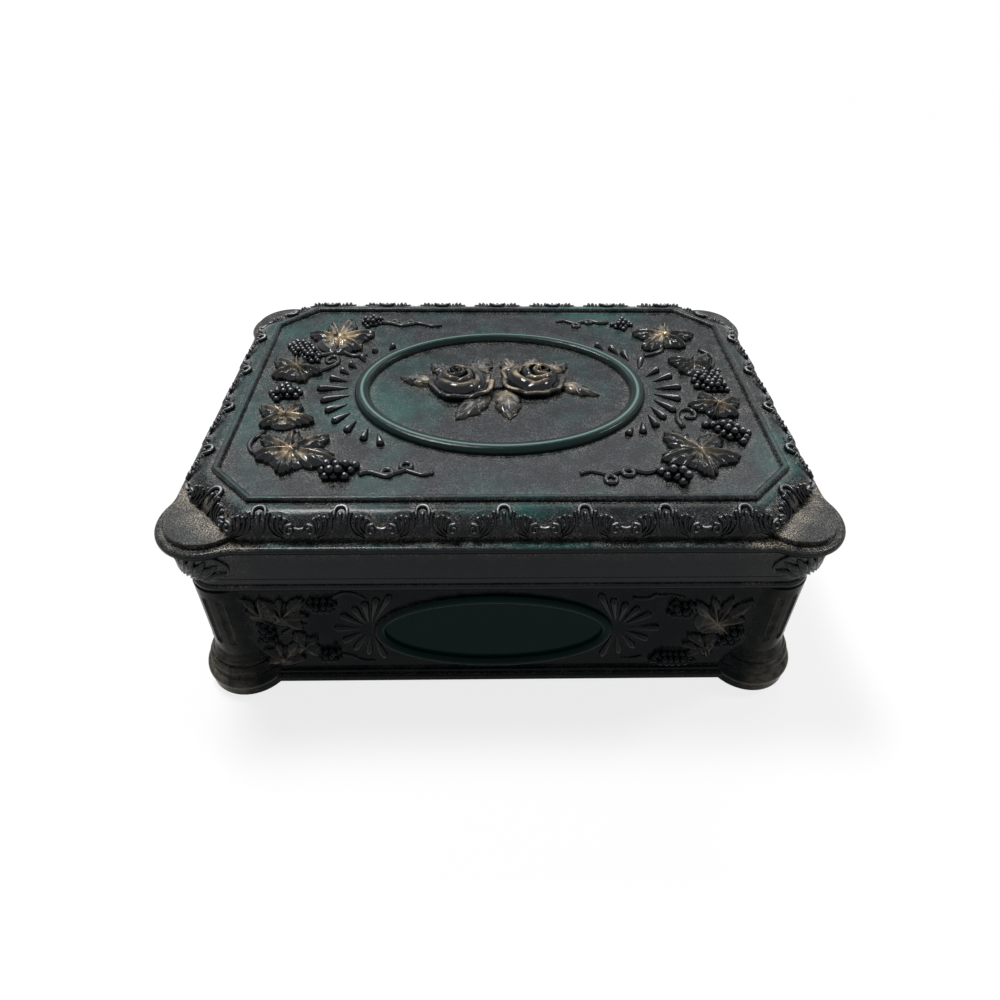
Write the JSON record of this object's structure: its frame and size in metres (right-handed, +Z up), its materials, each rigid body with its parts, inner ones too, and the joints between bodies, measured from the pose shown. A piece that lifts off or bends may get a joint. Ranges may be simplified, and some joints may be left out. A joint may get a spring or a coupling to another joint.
{
  "type": "trinket box",
  "caption": "Rectangular trinket box on turned feet with fluted corner columns and a domed-edge hinged lid carved with vine leaves, grapes and roses; opens to a lined inside.",
  "frame": {"origin": "on the table, under the middle of the box", "axes": "+X to the right seen from the front, -Y towards the front, +Z up; the lid is hinged at +Y"},
  "size_m": [0.2348, 0.1678, 0.0953],
  "materials": {
    "moulded_shell": "moulded green-black resin with a worn satin gloss, dust in the recesses and gold rubbed on some leaves",
    "velvet": "short crimson velvet over card",
    "felt": "dark green pressed felt",
    "hinge_brass": "dulled stamped brass",
    "screw_steel": "plated countersunk screws, slightly tarnished"
  },
  "bodies": {
    "base": {"base_shell": "moulded_shell", "floor_pad": "velvet", "front_wall_lining": "velvet", "rear_wall_lining": "velvet", "left_wall_lining": "velvet", "right_wall_lining": "velvet", "foot_pad_front_left": "felt", "foot_pad_front_right": "felt", "foot_pad_rear_left": "felt", "foot_pad_rear_right": "felt", "left_hinge_body_leaf": "hinge_brass", "left_hinge_pin": "hinge_brass", "left_hinge_body_screws": "screw_steel", "right_hinge_body_leaf": "hinge_brass", "right_hinge_pin": "hinge_brass", "right_hinge_body_screws": "screw_steel"},
    "lid": {"lid_shell": "moulded_shell", "lid_pad": "velvet", "left_hinge_lid_leaf": "hinge_brass", "left_hinge_lid_screws": "screw_steel", "right_hinge_lid_leaf": "hinge_brass", "right_hinge_lid_screws": "screw_steel"}
  },
  "joints": [
    {"name": "lid_hinge", "type": "hinge", "parent": "base", "child": "lid", "pos_m": [0, 0.07865, 0.05507], "axis": [-1, 0, 0], "range_deg": [0, 100]}
  ]
}
